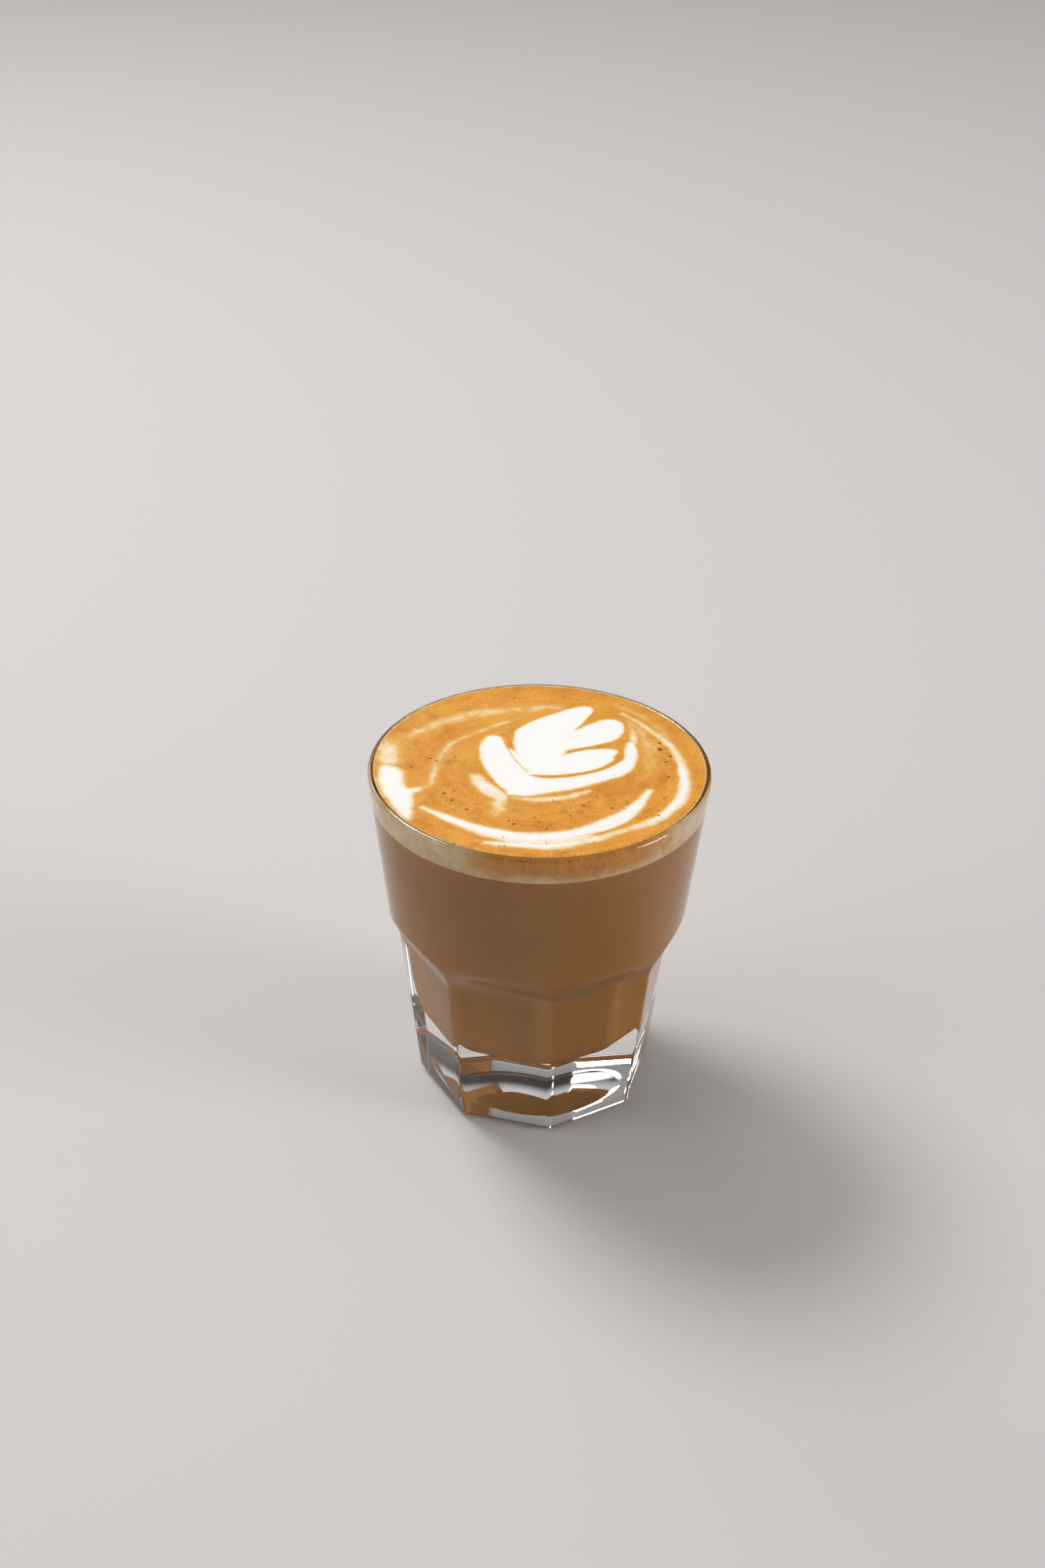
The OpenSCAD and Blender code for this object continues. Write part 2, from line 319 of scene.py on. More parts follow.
def cavity_rows(top):
    """Heights of the cavity's rows of points, from the floor's fillet up."""
    low = CORE_TOP_H - BLEND_BELOW
    high = SHOULDER_H + BLEND_ABOVE
    heights = rows(CAVITY_LOW, low, CORE_ROWS)[1:]
    heights += rows(low, high, FUNNEL_ROWS)[1:]
    return heights + rows(high, top, BOWL_ROWS)[1:]


def floor_outline(gap):
    """Floor and fillet of the cavity, from the axis outwards."""
    low = FLOOR_T - gap
    flat_r = cavity_ridge(CAVITY_LOW) + gap - CORE_FILLET
    level = [(r, low) for r in rows(0, flat_r, FLOOR_ROWS)]
    turn = [math.radians(a) for a in rows(0, QUARTER_TURN, FILLET_ROWS)[1:]]
    bend = [(flat_r + CORE_FILLET * math.sin(a), low + CORE_FILLET * (1 - math.cos(a))) for a in turn]
    return level + bend


# Colours
def srgb(r, g, b):
    """Linear colour of screen values from 0 to 255."""
    return tuple(((c / 255 + 0.055) / 1.055) ** 2.4 for c in (r, g, b)) + (1,)


def grey(value):
    return (value, value, value, 1)


GLASS_TINT = (0.985, 0.99, 0.988, 1)
COFFEE = srgb(188, 131, 61)
COFFEE_SHADE = srgb(181, 124, 56)
CREMA_LIGHT = srgb(243, 178, 70)
CREMA_DEEP = srgb(226, 153, 52)
CREMA_STAIN = srgb(204, 126, 38)
CREMA_GRAIN = srgb(232, 206, 178)
CREMA_DOT = srgb(118, 62, 18)
# From crema stained with a little milk to pure milk
MILK_STOPS = [
    (0.1, srgb(228, 163, 72)), (0.35, srgb(240, 194, 122)), (0.6, srgb(248, 225, 184)),
    (0.84, srgb(253, 247, 237)), (1, srgb(254, 252, 248))]
GROUND_COFFEE = srgb(160, 84, 32)
BUBBLE_FILM = srgb(222, 170, 100)
PAPER = srgb(209, 205, 203)

# Finishes, with the height of the foam's bump in millimetres
GLASS_IOR = 1.51
FOAM_GLOSS = 0.35
FOAM_ROUGHNESS = (0.38, 0.62)
BUMP_STRENGTH = 0.25
BUMP_HEIGHT = 0.1
COFFEE_ROUGHNESS = 0.6
SPECK_ROUGHNESS = 0.6
BUBBLE_ROUGHNESS = 0.2
PAPER_ROUGHNESS = 0.8
PAPER_GLOSS = 0.1

# Noises: how fine each is, to the metre, how detailed and how rough
BROAD_NOISE = (75, 4, 0.55)
PATCHY_NOISE = (260, 6, 0.65)
DOT_NOISE = (330, 2, 0.55)
WANDER_NOISE = (380, 5, 0.55)
FINE_NOISE = (3600, 3, 0.55)
COFFEE_NOISE = (60, 5, 0.55)
GRIT_NOISE = (900, 4, 0.55)
BEAD_CELLS = 1300
# Streaks run round the axis: how often they change round it and outwards, and their noise
STREAKS_ROUND = 3.5
STREAKS_OUT = 520
STREAK_NOISE = (1, 5, 0.6)

# Values between which each noise or mask comes in
MOTTLE_SPAN = (0.17, 0.36)
STAIN_SPAN = (0.52, 0.78)
GRAIN_SPAN = (0.36, 0.68)
BEAD_SPAN = (0.05, 0.16)
DOT_SPAN = (0.5, 0.62)
COVER_SPAN = (0.06, 0.42)
ROUGH_SPAN = (0.3, 0.7)
COFFEE_SPAN = (0.3, 0.7)
GRIT_SPAN = (0.35, 0.65)
GRIT_SHADE = 0.55
# How far the streaks shift the edge of the milk
RAGGED = 2.6


# Materials
def new_material(name):
    material = bpy.data.materials.new(name)
    material.use_nodes = True
    return material, material.node_tree.nodes, material.node_tree.links


def glass_material():
    material, nodes, _ = new_material("clear_glass")
    shader = nodes["Principled BSDF"]
    shader.inputs["Base Color"].default_value = GLASS_TINT
    shader.inputs["Roughness"].default_value = 0
    shader.inputs["IOR"].default_value = GLASS_IOR
    shader.inputs["Transmission Weight"].default_value = 1
    return material


def noise(nodes, links, where, scale, detail, roughness):
    node = nodes.new("ShaderNodeTexNoise")
    node.inputs["Scale"].default_value = scale
    node.inputs["Detail"].default_value = detail
    node.inputs["Roughness"].default_value = roughness
    links.new(where, node.inputs["Vector"])
    return node.outputs["Fac"]


def ramp(nodes, links, value, stops):
    node = nodes.new("ShaderNodeValToRGB")
    elements = node.color_ramp.elements
    while len(elements) < len(stops):
        elements.new(1)
    for element, (place, colour) in zip(elements, stops):
        element.position = place
        element.color = colour
    links.new(value, node.inputs["Fac"])
    return node.outputs["Color"]


def fade(nodes, links, value, span, start=grey(0), end=grey(1)):
    """One colour below a span of values, another above it and a straight fade between."""
    return ramp(nodes, links, value, list(zip(span, (start, end))))


def mix_colour(nodes, links, factor, a, b, blend="MIX"):
    """Mixes two colours, each a plain colour or the output of a node."""
    node = nodes.new("ShaderNodeMix")
    node.data_type = "RGBA"
    node.blend_type = blend
    for socket, colour in (("A", a), ("B", b)):
        if isinstance(colour, tuple):
            node.inputs[socket].default_value = colour
        else:
            links.new(colour, node.inputs[socket])
    links.new(factor, node.inputs["Factor"])
    return node.outputs["Result"]


def math_node(nodes, links, operation, a, b):
    node = nodes.new("ShaderNodeMath")
    node.operation = operation
    for socket, value in zip(node.inputs, (a, b)):
        if isinstance(value, (int, float)):
            socket.default_value = value
        else:
            links.new(value, socket)
    return node.outputs[0]


def drawn_round(nodes, links, where):
    """Coordinates that run along circles round the axis, for streaks."""
    flat = nodes.new("ShaderNodeVectorMath")
    flat.operation = "MULTIPLY"
    flat.inputs[1].default_value = (1, 1, 0)
    links.new(where, flat.inputs[0])
    length = nodes.new("ShaderNodeVectorMath")
    length.operation = "LENGTH"
    links.new(flat.outputs["Vector"], length.inputs[0])
    heading = nodes.new("ShaderNodeVectorMath")
    heading.operation = "NORMALIZE"
    links.new(flat.outputs["Vector"], heading.inputs[0])
    scaled = nodes.new("ShaderNodeVectorMath")
    scaled.operation = "SCALE"
    scaled.inputs["Scale"].default_value = STREAKS_ROUND
    links.new(heading.outputs["Vector"], scaled.inputs[0])
    outward = nodes.new("ShaderNodeCombineXYZ")
    links.new(math_node(nodes, links, "MULTIPLY", length.outputs["Value"], STREAKS_OUT), outward.inputs["Z"])
    total = nodes.new("ShaderNodeVectorMath")
    total.operation = "ADD"
    links.new(scaled.outputs["Vector"], total.inputs[0])
    links.new(outward.outputs["Vector"], total.inputs[1])
    return total.outputs["Vector"]


def foam_group():
    """Crema that pales to tan and white where milk lies, with drawn-out mottling, bubbles and dots."""
    group = bpy.data.node_groups.new("crema_and_milk", "ShaderNodeTree")
    face = group.interface
    face.new_socket("Milk", in_out="INPUT", socket_type="NodeSocketFloat")
    face.new_socket("Color", in_out="OUTPUT", socket_type="NodeSocketColor")
    face.new_socket("Roughness", in_out="OUTPUT", socket_type="NodeSocketFloat")
    face.new_socket("Height", in_out="OUTPUT", socket_type="NodeSocketFloat")
    nodes, links = group.nodes, group.links
    milk = nodes.new("NodeGroupInput").outputs["Milk"]
    end = nodes.new("NodeGroupOutput")
    where = nodes.new("ShaderNodeTexCoord").outputs["Object"]
    streaks = noise(nodes, links, drawn_round(nodes, links, where), *STREAK_NOISE)
    broad = noise(nodes, links, where, *BROAD_NOISE)
    patchy = noise(nodes, links, where, *PATCHY_NOISE)
    fine = noise(nodes, links, where, *FINE_NOISE)
    cells = nodes.new("ShaderNodeTexVoronoi")
    cells.inputs["Scale"].default_value = BEAD_CELLS
    links.new(where, cells.inputs["Vector"])
    mottle = fade(nodes, links, math_node(nodes, links, "MULTIPLY", broad, streaks), MOTTLE_SPAN)
    tone = mix_colour(nodes, links, mottle, CREMA_LIGHT, CREMA_DEEP)
    stain = fade(nodes, links, patchy, STAIN_SPAN)
    tone = mix_colour(nodes, links, stain, tone, CREMA_STAIN)
    grain = fade(nodes, links, fine, GRAIN_SPAN)
    tone = mix_colour(nodes, links, grain, tone, CREMA_GRAIN, "MULTIPLY")
    bead = fade(nodes, links, cells.outputs["Distance"], BEAD_SPAN, grey(1), grey(0))
    dots = fade(nodes, links, noise(nodes, links, where, *DOT_NOISE), DOT_SPAN)
    dark = math_node(nodes, links, "MULTIPLY", bead, dots)
    tone = mix_colour(nodes, links, dark, tone, CREMA_DOT)
    wander = math_node(nodes, links, "ADD", noise(nodes, links, where, *WANDER_NOISE), streaks)
    wander = math_node(nodes, links, "SUBTRACT", wander, 1)
    bare = math_node(nodes, links, "SUBTRACT", 1, milk)
    mixed = math_node(nodes, links, "MULTIPLY", milk, bare)
    shift = math_node(nodes, links, "MULTIPLY", wander, RAGGED)
    ragged = math_node(nodes, links, "ADD", milk, math_node(nodes, links, "MULTIPLY", mixed, shift))
    pale = ramp(nodes, links, ragged, MILK_STOPS)
    cover = fade(nodes, links, ragged, COVER_SPAN)
    rough = fade(nodes, links, fine, ROUGH_SPAN, *map(grey, FOAM_ROUGHNESS))
    links.new(mix_colour(nodes, links, cover, tone, pale), end.inputs["Color"])
    links.new(rough, end.inputs["Roughness"])
    links.new(math_node(nodes, links, "SUBTRACT", fine, bead), end.inputs["Height"])
    return group


def foam_material(group, name):
    material, nodes, links = new_material(name)
    shader = nodes["Principled BSDF"]
    milk = nodes.new("ShaderNodeAttribute")
    milk.attribute_name = "milk"
    effect = nodes.new("ShaderNodeGroup")
    effect.node_tree = group
    bump = nodes.new("ShaderNodeBump")
    bump.inputs["Strength"].default_value = BUMP_STRENGTH
    bump.inputs["Distance"].default_value = BUMP_HEIGHT * MM
    shader.inputs["Specular IOR Level"].default_value = FOAM_GLOSS
    links.new(milk.outputs["Fac"], effect.inputs["Milk"])
    links.new(effect.outputs["Color"], shader.inputs["Base Color"])
    links.new(effect.outputs["Roughness"], shader.inputs["Roughness"])
    links.new(effect.outputs["Height"], bump.inputs["Height"])
    links.new(bump.outputs["Normal"], shader.inputs["Normal"])
    return material


def coffee_material():
    """Coffee that lies wet against the glass, so it shows no gloss of its own."""
    material, nodes, links = new_material("milky_coffee")
    shader = nodes["Principled BSDF"]
    where = nodes.new("ShaderNodeTexCoord").outputs["Object"]
    cloud = noise(nodes, links, where, *COFFEE_NOISE)
    links.new(fade(nodes, links, cloud, COFFEE_SPAN, COFFEE, COFFEE_SHADE), shader.inputs["Base Color"])
    shader.inputs["Roughness"].default_value = COFFEE_ROUGHNESS
    shader.inputs["Specular IOR Level"].default_value = 0
    return material


def gritty_material(name, colour, roughness):
    material, nodes, links = new_material(name)
    shader = nodes["Principled BSDF"]
    where = nodes.new("ShaderNodeTexCoord").outputs["Object"]
    cloud = noise(nodes, links, where, *GRIT_NOISE)
    darker = tuple(GRIT_SHADE * c for c in colour[:3]) + (1,)
    links.new(fade(nodes, links, cloud, GRIT_SPAN, darker, colour), shader.inputs["Base Color"])
    shader.inputs["Roughness"].default_value = roughness
    return material


def finish_piece(piece, body, slot, material, *nodes):
    piece.data.materials.clear()
    piece.data.materials.append(material)
    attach(piece, body)
    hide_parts(*nodes)


# The tumbler
def wall_heights():
    """Heights of the outside's rows of points, closer together where the panels end."""
    scoop_top = PANEL_TOP_H + SCOOP_H + SCOOP_OVERRUN
    turn = [math.radians(a) for a in rows(0, QUARTER_TURN, FOOT_EDGE_ROWS)]
    heights = [FOOT_EDGE * (1 - math.cos(a)) for a in turn]
    heights += rows(FOOT_EDGE, PANEL_TOP_H, PANEL_ROWS)[1:]
    heights += rows(PANEL_TOP_H, scoop_top, SCOOP_ROWS)[1:]
    return heights + rows(scoop_top, LIP_H, UPPER_ROWS)[1:]


def lip_outline():
    """Half round of the lip, from the outside inwards."""
    lip_r = LIP_T / 2
    turn = [math.radians(a) for a in rows(0, HALF_TURN, LIP_ROWS)[1:]]
    return [(RIM_R - lip_r + lip_r * math.cos(a), LIP_H + lip_r * math.sin(a)) for a in turn]


def punt_outline():
    """Shallow round hollow under the foot, from the axis outwards."""
    dome_r = (PUNT_R ** 2 + PUNT_DEPTH ** 2) / (2 * PUNT_DEPTH)
    return [(r, PUNT_DEPTH - dome_r + math.sqrt(dome_r ** 2 - r ** 2)) for r in rows(0, PUNT_R, PUNT_ROWS)]


def make_tumbler(material):
    stretches = [
        ("under", punt_outline()),
        ("under", [(r, 0) for r in rows(PUNT_R, outside_ridge(0), FOOT_ROWS)[1:-1]]),
        ("wall", [(outside_ridge(z), z) for z in wall_heights()]),
        ("round", lip_outline()),
        ("inside", [(cavity_ridge(z), z) for z in reversed(cavity_rows(LIP_H)[:-1])]),
        ("floor", floor_outline(0)[::-1]),
    ]
    outline = [point for _, points in stretches for point in points]
    kinds = [kind for kind, points in stretches for _ in points]
    piece = spin_outline("tumbler_glass", outline, COLUMNS)
    press(piece, outline, kinds)
    finish_piece(piece, "glass", "clear_glass", material, "tumbler")


# The coffee and the pale foam that show through the glass
def make_coffee(material):
    level = floor_outline(WET)
    wall = [(cavity_ridge(z) + WET, z) for z in cavity_rows(FOAM_LOW)]
    outline = level + wall + [(0, FOAM_LOW)]
    kinds = ["floor"] * len(level) + ["wet"] * len(wall) + ["round"]
    piece = spin_outline("coffee_body", outline, COLUMNS)
    press(piece, outline, kinds)
    finish_piece(piece, "glass", "milky_coffee", material, "coffee")


def make_foam_band(material):
    wall = [(float(bowl_inside(z)) + WET, z) for z in rows(FOAM_LOW, CREMA_LOW, WALL_ROWS)]
    piece = spin_outline("milk_foam_band", [(0, FOAM_LOW)] + wall + [(0, CREMA_LOW)], COLUMNS)
    points = points_of(piece)
    rise = ease(FOAM_LOW, CREMA_LOW, points[:, 2])
    set_milk(piece, mix(FOAM_MILK, side_milk(points), rise))
    finish_piece(piece, "foam_cap", "pale_foam", material, "milk_foam")


# The poured pattern: points are shares of the crema's radius, as in the construction
CREMA_R = float(bowl_inside(CREMA_TOP))
CROWN_SHARES = [
    (0.34, 0.7), (0.29, 0.75), (0.21, 0.72), (0.08, 0.64), (-0.01, 0.57), (-0.08, 0.51), (-0.14, 0.43),
    (-0.16, 0.34), (-0.16, 0.24), (-0.14, 0.14), (-0.1, 0.04), (-0.06, -0.04), (0.02, -0.06),
    (0.09, -0.03), (0.11, 0.07), (0.12, 0.16), (0.16, 0.26), (0.2, 0.38), (0.24, 0.48), (0.28, 0.56)]
MIDDLE_SHARES = [
    (0.26, 0.46), (0.32, 0.52), (0.39, 0.57), (0.47, 0.58), (0.52, 0.54), (0.53, 0.47), (0.51, 0.39),
    (0.46, 0.32), (0.38, 0.27), (0.29, 0.23), (0.2, 0.2), (0.15, 0.18), (0.18, 0.27), (0.22, 0.37)]
LOWER_SHARES = [
    (0.14, 0.12), (0.2, 0.16), (0.3, 0.2), (0.39, 0.21), (0.45, 0.21), (0.48, 0.18), (0.45, 0.11),
    (0.39, 0.05), (0.3, -0.01), (0.2, -0.06), (0.13, -0.07), (0.13, 0.03)]
LEFT_LEAF_SHARES = [
    (-0.29, 0.36), (-0.23, 0.33), (-0.21, 0.25), (-0.18, 0.15), (-0.14, 0.05), (-0.09, -0.05),
    (-0.09, -0.13), (-0.11, -0.24), (-0.15, -0.34), (-0.19, -0.31), (-0.25, -0.23), (-0.3, -0.12),
    (-0.35, 0.02), (-0.37, 0.15), (-0.36, 0.27), (-0.33, 0.34)]
OUTER_LEAF_SHARES = [
    (-0.05, -0.14), (0.04, -0.16), (0.15, -0.14), (0.27, -0.1), (0.37, -0.05), (0.46, 0.01),
    (0.51, 0.09), (0.52, 0.19), (0.54, 0.29), (0.58, 0.3), (0.6, 0.2), (0.59, 0.07), (0.56, -0.03),
    (0.5, -0.1), (0.4, -0.16), (0.3, -0.22), (0.2, -0.27), (0.08, -0.31), (-0.01, -0.34),
    (-0.09, -0.35), (-0.06, -0.26)]
FEATHER_SHARES = [
    (-0.41, -0.13), (-0.37, -0.12), (-0.33, -0.17), (-0.28, -0.23), (-0.22, -0.31), (-0.19, -0.36),
    (-0.21, -0.4), (-0.26, -0.36), (-0.32, -0.3), (-0.38, -0.22)]
RIM_PATCH_SHARES = [
    (-0.93, -0.09), (-0.88, -0.06), (-0.83, -0.1), (-0.82, -0.18), (-0.83, -0.26), (-0.78, -0.3),
    (-0.75, -0.4), (-0.75, -0.51), (-0.75, -0.58), (-0.79, -0.54), (-0.84, -0.43), (-0.89, -0.31),
    (-0.93, -0.18)]
FRONT_SWIRL_SHARES = [
    (-0.7, -0.48), (-0.6, -0.56), (-0.48, -0.64), (-0.37, -0.71), (-0.26, -0.75), (-0.13, -0.79),
    (-0.01, -0.8), (0.12, -0.78), (0.25, -0.73), (0.36, -0.65), (0.48, -0.55), (0.56, -0.45),
    (0.63, -0.33), (0.66, -0.26)]
OUTER_SWIRL_SHARES = [
    (-0.33, -0.86), (-0.25, -0.88), (-0.13, -0.89), (-0.01, -0.9), (0.12, -0.89), (0.24, -0.84),
    (0.36, -0.78), (0.5, -0.69), (0.6, -0.64), (0.69, -0.58), (0.76, -0.5), (0.82, -0.41),
    (0.86, -0.3), (0.88, -0.16), (0.87, 0.01), (0.84, 0.15), (0.8, 0.28), (0.73, 0.4), (0.66, 0.5),
    (0.59, 0.59), (0.51, 0.67)]
LEFT_STREAK_SHARES = [
    (-0.72, -0.28), (-0.68, -0.27), (-0.65, -0.22), (-0.64, -0.12), (-0.63, -0.01), (-0.6, 0.1)]
BACK_STREAK_SHARES = [
    (-0.59, 0.2), (-0.52, 0.29), (-0.44, 0.35), (-0.37, 0.41), (-0.28, 0.48), (-0.19, 0.54),
    (-0.13, 0.58)]
FRONT_SWIRL_SHARE = 0.09
OUTER_SWIRL_SHARE = 0.07
STREAK_SHARE = 0.035
BAND_END_SHARE = 0.3
OUTLINE_STEPS = 6


def through(a, b, c, d, t):
    """Point at t between b and c on a smooth curve through four points."""
    return (2 * b + (c - a) * t + (2 * a - 5 * b + 4 * c - d) * t ** 2
            + (3 * b - a - 3 * c + d) * t ** 3) / 2


def closed_curve(shares):
    p = np.array(shares) * CREMA_R
    n = len(p)
    return np.array([through(p[i - 1], p[i], p[(i + 1) % n], p[(i + 2) % n], j / OUTLINE_STEPS)
                     for i in range(n) for j in range(OUTLINE_STEPS)])


def open_curve(shares):
    p = np.array(shares) * CREMA_R
    last = len(p) - 1
    points = [through(p[max(i - 1, 0)], p[i], p[i + 1], p[min(i + 2, last)], j / OUTLINE_STEPS)
              for i in range(last) for j in range(OUTLINE_STEPS)]
    return np.array(points + [p[last]])


def band(shares, width_share):
    """Outline of a band along a line, narrower towards its ends."""
    path = open_curve(shares)
    along = np.gradient(path, axis=0)
    along /= np.linalg.norm(along, axis=1)[:, None]
    side = np.stack([-along[:, 1], along[:, 0]], axis=1)
    share = np.linspace(0, 1, len(path))
    half = width_share * CREMA_R / 2 * np.maximum(BAND_END_SHARE, np.sqrt(np.sin(np.pi * share)))
    return np.concatenate([path + side * half[:, None], (path - side * half[:, None])[::-1]])


def outline_of(shares, width_share):
    """Outline of a patch, given by its own points or, with a width, by its middle line."""
    return band(shares, width_share) if width_share else closed_curve(shares)


# Each poured patch: its points, a band's width as a share, how white it is and how far its edge reaches
POURED = {
    "tulip_crown": (CROWN_SHARES, None, 1.0, 0.4),
    "tulip_middle": (MIDDLE_SHARES, None, 1.0, 0.45),
    "tulip_lower": (LOWER_SHARES, None, 1.0, 0.35),
    "tulip_left_leaf": (LEFT_LEAF_SHARES, None, 1.0, 0.5),
    "tulip_outer_leaf": (OUTER_LEAF_SHARES, None, 1.0, 0.55),
    "small_feather": (FEATHER_SHARES, None, 0.8, 0.8),
    "rim_patch": (RIM_PATCH_SHARES, None, 1.0, 0.8),
    "front_swirl": (FRONT_SWIRL_SHARES, FRONT_SWIRL_SHARE, 1.0, 0.6),
    "outer_swirl": (OUTER_SWIRL_SHARES, OUTER_SWIRL_SHARE, 0.72, 0.8),
    "left_streak": (LEFT_STREAK_SHARES, STREAK_SHARE, 0.6, 1.0),
    "back_streak": (BACK_STREAK_SHARES, STREAK_SHARE, 0.55, 1.0),
}

# Milk with no depth of its own, given in the same way: white between the patches, then tan stains
HEART_SHARES = [
    (-0.02, 0.1), (0.06, 0.22), (0.14, 0.36), (0.21, 0.43), (0.27, 0.46), (0.28, 0.36), (0.24, 0.24),
    (0.16, 0.19), (0.2, 0.1), (0.2, 0), (0.12, -0.03), (0.02, -0.03)]
UNDER_SHARES = [
    (-0.08, -0.01), (0.02, 0), (0.13, 0.02), (0.3, 0.06), (0.42, 0.11), (0.455, 0.08), (0.37, -0.02),
    (0.28, -0.065), (0.18, -0.095), (0.08, -0.113), (-0.02, -0.112), (-0.06, -0.1)]
OVER_SHARES = [
    (-0.08, -0.13), (0, -0.147), (0.1, -0.147), (0.2, -0.128), (0.3, -0.09), (0.38, -0.045), (0.45, 0.015),
    (0.5, 0.07), (0.55, 0.1), (0.5, -0.02), (0.4, -0.09), (0.3, -0.14), (0.2, -0.18), (0.05, -0.2),
    (-0.05, -0.18)]
FOOT_SHARES = [
    (-0.18, -0.2), (-0.08, -0.1), (0, -0.16), (0.02, -0.26), (-0.06, -0.35), (-0.14, -0.35),
    (-0.2, -0.33)]
LEAF_JOIN_SHARES = [(-0.2, 0.2), (-0.17, 0.12), (-0.13, 0.03), (-0.09, -0.05), (-0.07, -0.12)]
SWIRL_JOIN_SHARES = [
    (-0.42, -0.72), (-0.25, -0.79), (-0.1, -0.835), (0.05, -0.845), (0.2, -0.815), (0.31, -0.755)]
SWIRL_LOW_SHARES = [(-0.32, -0.855), (-0.15, -0.875), (0, -0.885), (0.14, -0.872), (0.27, -0.825)]
SWIRL_SIDE_SHARES = [(0.25, -0.76), (0.37, -0.69), (0.49, -0.59), (0.57, -0.48), (0.63, -0.36)]
SWIRL_LIGHT_SHARES = [
    (0.62, -0.63), (0.71, -0.55), (0.79, -0.44), (0.84, -0.33), (0.87, -0.18), (0.865, 0), (0.84, 0.12)]
PATCH_SHARES = [
    (-0.96, -0.02), (-0.9, -0.02), (-0.84, -0.08), (-0.82, -0.2), (-0.79, -0.27), (-0.72, -0.27),
    (-0.71, -0.3), (-0.75, -0.34), (-0.755, -0.45), (-0.75, -0.56), (-0.77, -0.63), (-0.82, -0.57),
    (-0.88, -0.45), (-0.94, -0.3), (-0.97, -0.15)]
FEATHER_FAN_SHARES = [
    (-0.42, -0.12), (-0.36, -0.13), (-0.3, -0.2), (-0.22, -0.32), (-0.19, -0.4), (-0.24, -0.42),
    (-0.32, -0.35), (-0.4, -0.24)]
FEATHER_STAIN_SHARES = [(-0.23, -0.36), (-0.24, -0.46), (-0.25, -0.57)]
LEAF_STAIN_SHARES = [(-0.17, -0.37), (-0.05, -0.392), (0.08, -0.382), (0.2, -0.342), (0.3, -0.28)]
TIP_STAIN_SHARES = [(0.58, 0.2), (0.585, 0.32), (0.58, 0.42), (0.56, 0.52)]
HALO_SHARES = [(0.64, -0.14), (0.67, 0), (0.675, 0.15), (0.66, 0.3), (0.62, 0.46), (0.54, 0.6)]
FAR_STAIN_SHARES = [
    (-0.88, 0.28), (-0.75, 0.4), (-0.6, 0.52), (-0.42, 0.62), (-0.22, 0.68), (0, 0.72), (0.13, 0.73)]
PATCH_STAIN_SHARES = [(-0.94, 0.28), (-0.93, 0.12), (-0.92, -0.02)]
STREAK_STAIN_SHARES = [
    (-0.7, -0.29), (-0.66, -0.2), (-0.64, -0.08), (-0.62, 0.04), (-0.58, 0.16), (-0.53, 0.27), (-0.45, 0.35)]
RIGHT_STAIN_SHARES = [(0.45, 0.8), (0.6, 0.68), (0.72, 0.52), (0.8, 0.35), (0.84, 0.2)]
STAINS = [
    (HEART_SHARES, None, 1.0, 0.4),
    (UNDER_SHARES, None, 1.0, 0.3),
    (OVER_SHARES, None, 1.0, 0.3),
    (FOOT_SHARES, None, 1.0, 0.5),
    (LEAF_JOIN_SHARES, 0.1, 1.0, 0.3),
    (SWIRL_JOIN_SHARES, 0.09, 0.8, 0.6),
    (SWIRL_LOW_SHARES, 0.06, 1.0, 0.6),
    (SWIRL_SIDE_SHARES, 0.065, 1.0, 0.6),
    (SWIRL_LIGHT_SHARES, 0.065, 1.0, 0.6),
    (PATCH_SHARES, None, 1.0, 0.9),
    (FEATHER_FAN_SHARES, None, 0.72, 0.8),
    (FEATHER_STAIN_SHARES, 0.09, 0.62, 1.5),
    (LEAF_STAIN_SHARES, 0.05, 0.72, 0.7),
    (TIP_STAIN_SHARES, 0.05, 0.62, 0.9),
    (HALO_SHARES, 0.09, 0.45, 2.0),
    (FAR_STAIN_SHARES, 0.1, 0.52, 1.8),
    (PATCH_STAIN_SHARES, 0.14, 0.7, 2.4),
    (STREAK_STAIN_SHARES, 0.055, 0.52, 1.3),
    (RIGHT_STAIN_SHARES, 0.06, 0.4, 1.6),
]

# Lines of crema that are drawn through the white, given in the same way
LEAF_LINE_SHARES = [(-0.235, 0.34), (-0.2, 0.22), (-0.165, 0.1), (-0.12, 0), (-0.085, -0.06), (-0.07, -0.085)]
HOOK_LINE_SHARES = [
    (-0.06, -0.12), (0.02, -0.128), (0.1, -0.128), (0.2, -0.11), (0.3, -0.07), (0.38, -0.025), (0.44, 0.03)]
HOOK_END_SHARES = [(0.3, -0.07), (0.38, -0.025), (0.44, 0.03), (0.485, 0.09), (0.505, 0.16), (0.5, 0.24)]
SLIT_SHARES = [(0.13, 0.12), (0.18, 0.16), (0.26, 0.2), (0.34, 0.225), (0.43, 0.25)]
SWIRL_LINE_SHARES = [(0.34, -0.757), (0.46, -0.69), (0.57, -0.6), (0.67, -0.49), (0.745, -0.38)]
LINES = [
    (LEAF_LINE_SHARES, 0.012, 0.85, 0.22),
    (HOOK_LINE_SHARES, 0.014, 0.95, 0.2),
    (HOOK_END_SHARES, 0.03, 0.9, 0.3),
    (SLIT_SHARES, 0.022, 0.8, 0.3),
    (SWIRL_LINE_SHARES, 0.03, 0.9, 0.4),
]
# How white a patch is at its outline, how fast it whitens inside and how many reaches its edge is followed
EDGE_WHITE = 0.45
WHITEN_SHARE = 0.8
REACHES = 4


